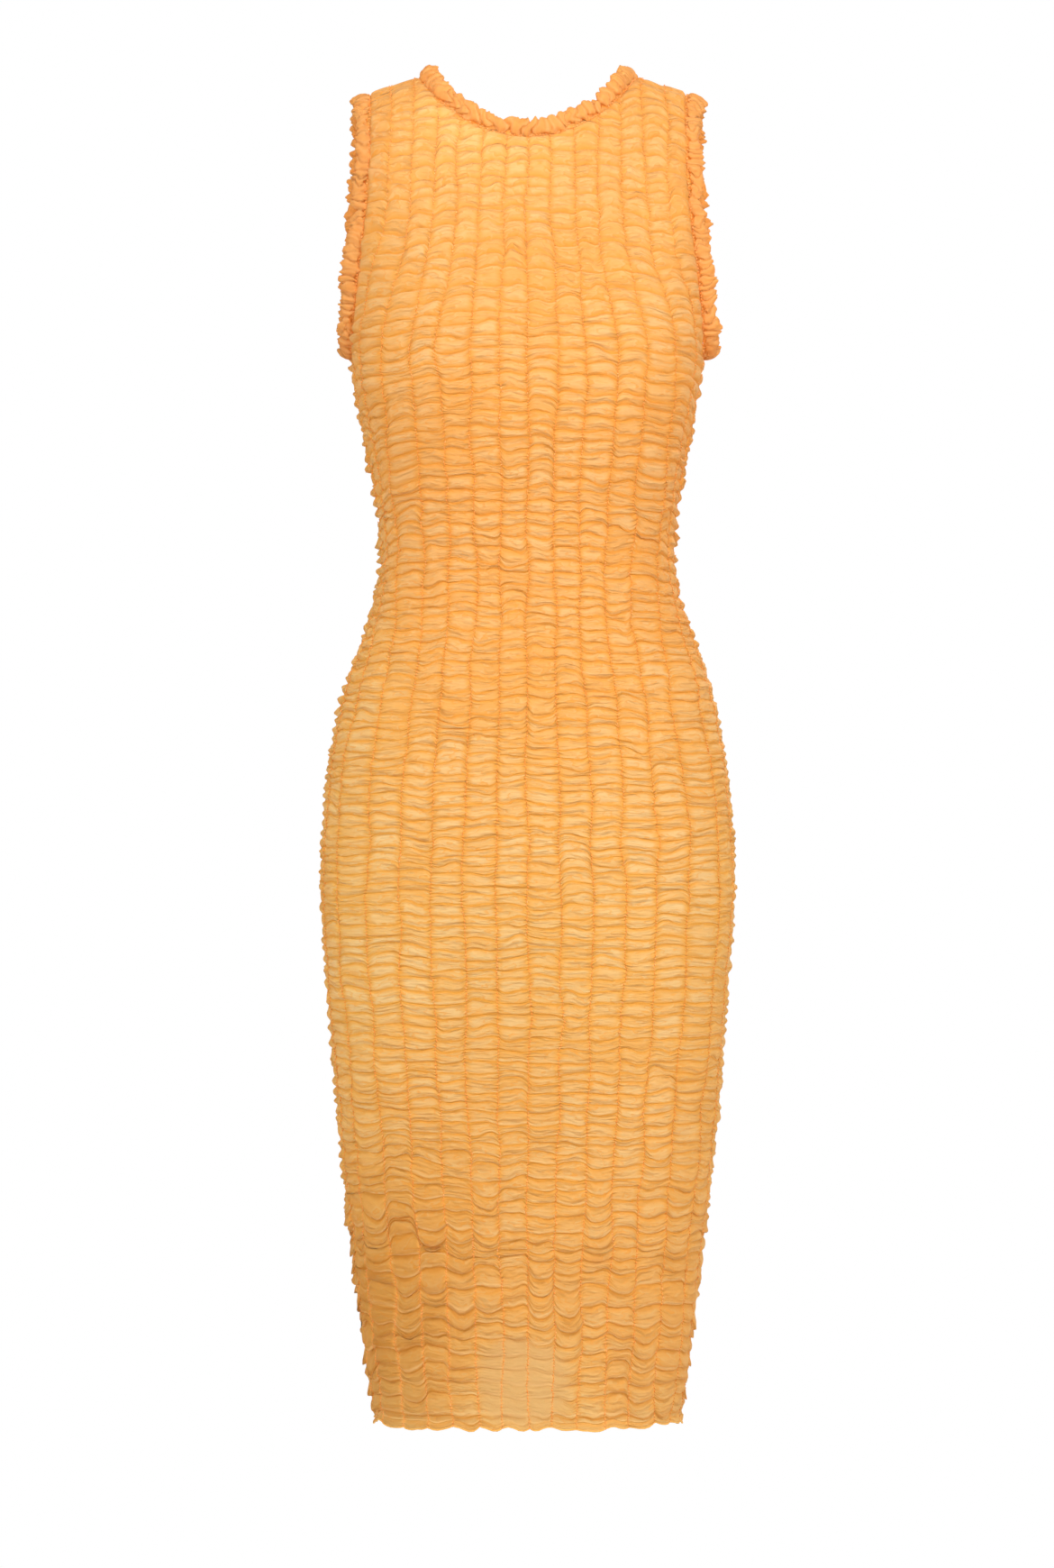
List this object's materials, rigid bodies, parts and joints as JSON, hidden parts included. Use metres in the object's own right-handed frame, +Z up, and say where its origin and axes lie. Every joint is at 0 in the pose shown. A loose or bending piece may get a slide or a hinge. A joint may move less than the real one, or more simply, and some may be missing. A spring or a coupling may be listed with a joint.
{
  "type": "sleeveless smocked midi dress",
  "caption": "Sleeveless round-neck smocked midi dress, gathered all over along vertical elastic seams, with ruched neck and armhole bindings, hollow in its worn form.",
  "frame": {"origin": "where the wearer's shoulders carry the dress: on the centre line, between the two shoulder seams and level with their tops beside the neck", "axes": "+Z up, -Y to the front, +X to the wearer's left"},
  "size_m": [0.3464, 0.2595, 1.1196],
  "materials": {
    "shirred_cloth": "sheer matt chiffon, gathered in rows of puffs",
    "ruched_binding": "sheer matt chiffon, ruched on the bias",
    "stitching": "spun thread over elastic"
  },
  "bodies": {
    "root": {"front": "shirred_cloth", "back": "shirred_cloth", "neck_binding": "ruched_binding", "armhole_binding_left": "ruched_binding", "armhole_binding_right": "ruched_binding"}
  },
  "joints": []
}
